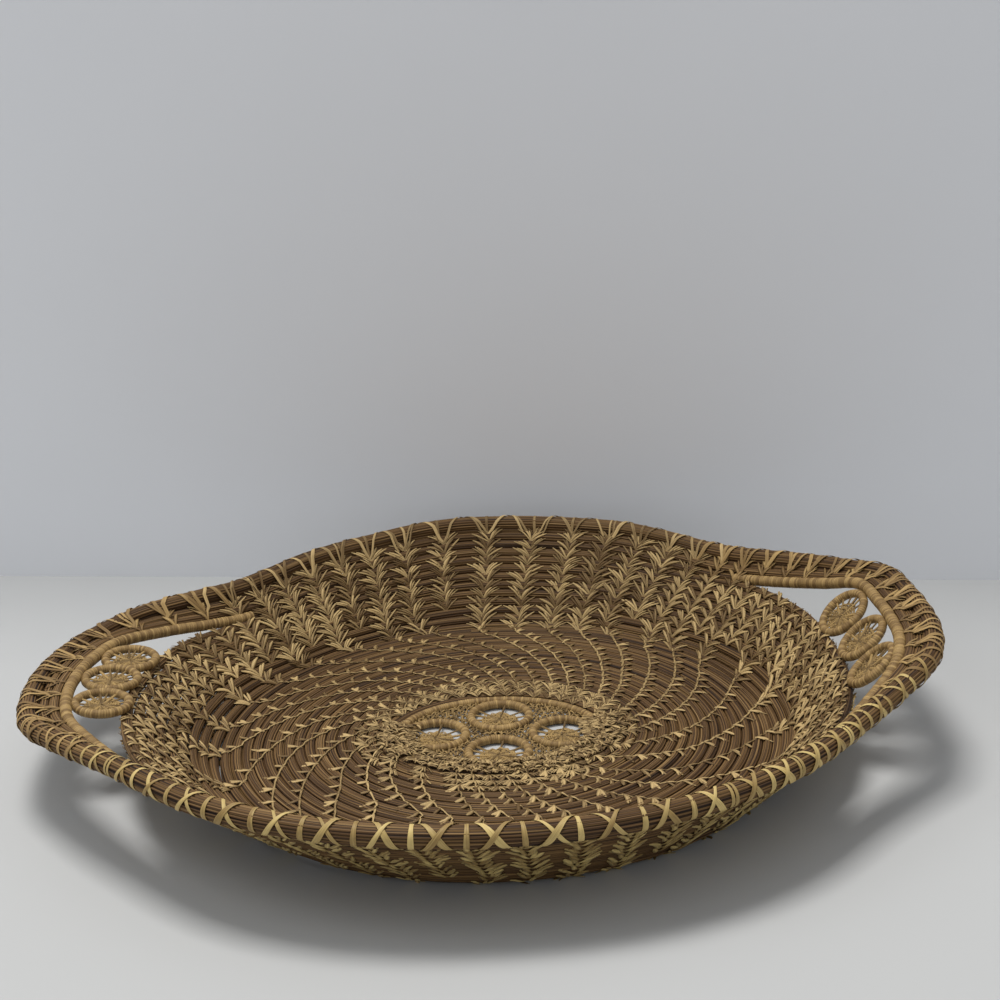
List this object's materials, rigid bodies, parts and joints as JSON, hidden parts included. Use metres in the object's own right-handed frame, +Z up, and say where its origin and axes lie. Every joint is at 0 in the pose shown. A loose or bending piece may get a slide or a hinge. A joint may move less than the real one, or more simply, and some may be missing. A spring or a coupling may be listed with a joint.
{
  "type": "pine needle basket",
  "caption": "Shallow lobed basket of coiled pine needles with a flared wall, open handles filled with wrapped rings, and a ringed medallion in its floor.",
  "frame": {"origin": "on the surface the basket stands on, under the middle of its overall length and width", "axes": "+X through the right handle, +Y to the back as pictured, +Z up out of the bowl"},
  "size_m": [0.3732, 0.3229, 0.055],
  "materials": {
    "pine_needles": "satin bundles of long brown needles",
    "raffia_wrap": "closely wrapped natural raffia, low sheen",
    "raffia_netting": "knotted golden brown raffia lace"
  },
  "bodies": {
    "root": {"floor_coil": "pine_needles", "wall_coil": "pine_needles", "left_handle_bar": "raffia_wrap", "front_upper_row": "pine_needles", "right_handle_bar": "raffia_wrap", "band_coil": "pine_needles", "rim_coil": "pine_needles", "right_ring_1": "raffia_wrap", "right_web_1": "raffia_netting", "right_ring_2": "raffia_wrap", "right_web_2": "raffia_netting", "right_ring_3": "raffia_wrap", "right_web_3": "raffia_netting", "left_ring_1": "raffia_wrap", "left_web_1": "raffia_netting", "left_ring_2": "raffia_wrap", "left_web_2": "raffia_netting", "left_ring_3": "raffia_wrap", "left_web_3": "raffia_netting", "centre_hoop": "raffia_wrap", "centre_ring_east": "raffia_wrap", "centre_web_east": "raffia_netting", "centre_ring_north": "raffia_wrap", "centre_web_north": "raffia_netting", "centre_ring_west": "raffia_wrap", "centre_web_west": "raffia_netting", "centre_ring_south": "raffia_wrap", "centre_web_south": "raffia_netting", "centre_netting": "raffia_netting"}
  },
  "joints": []
}
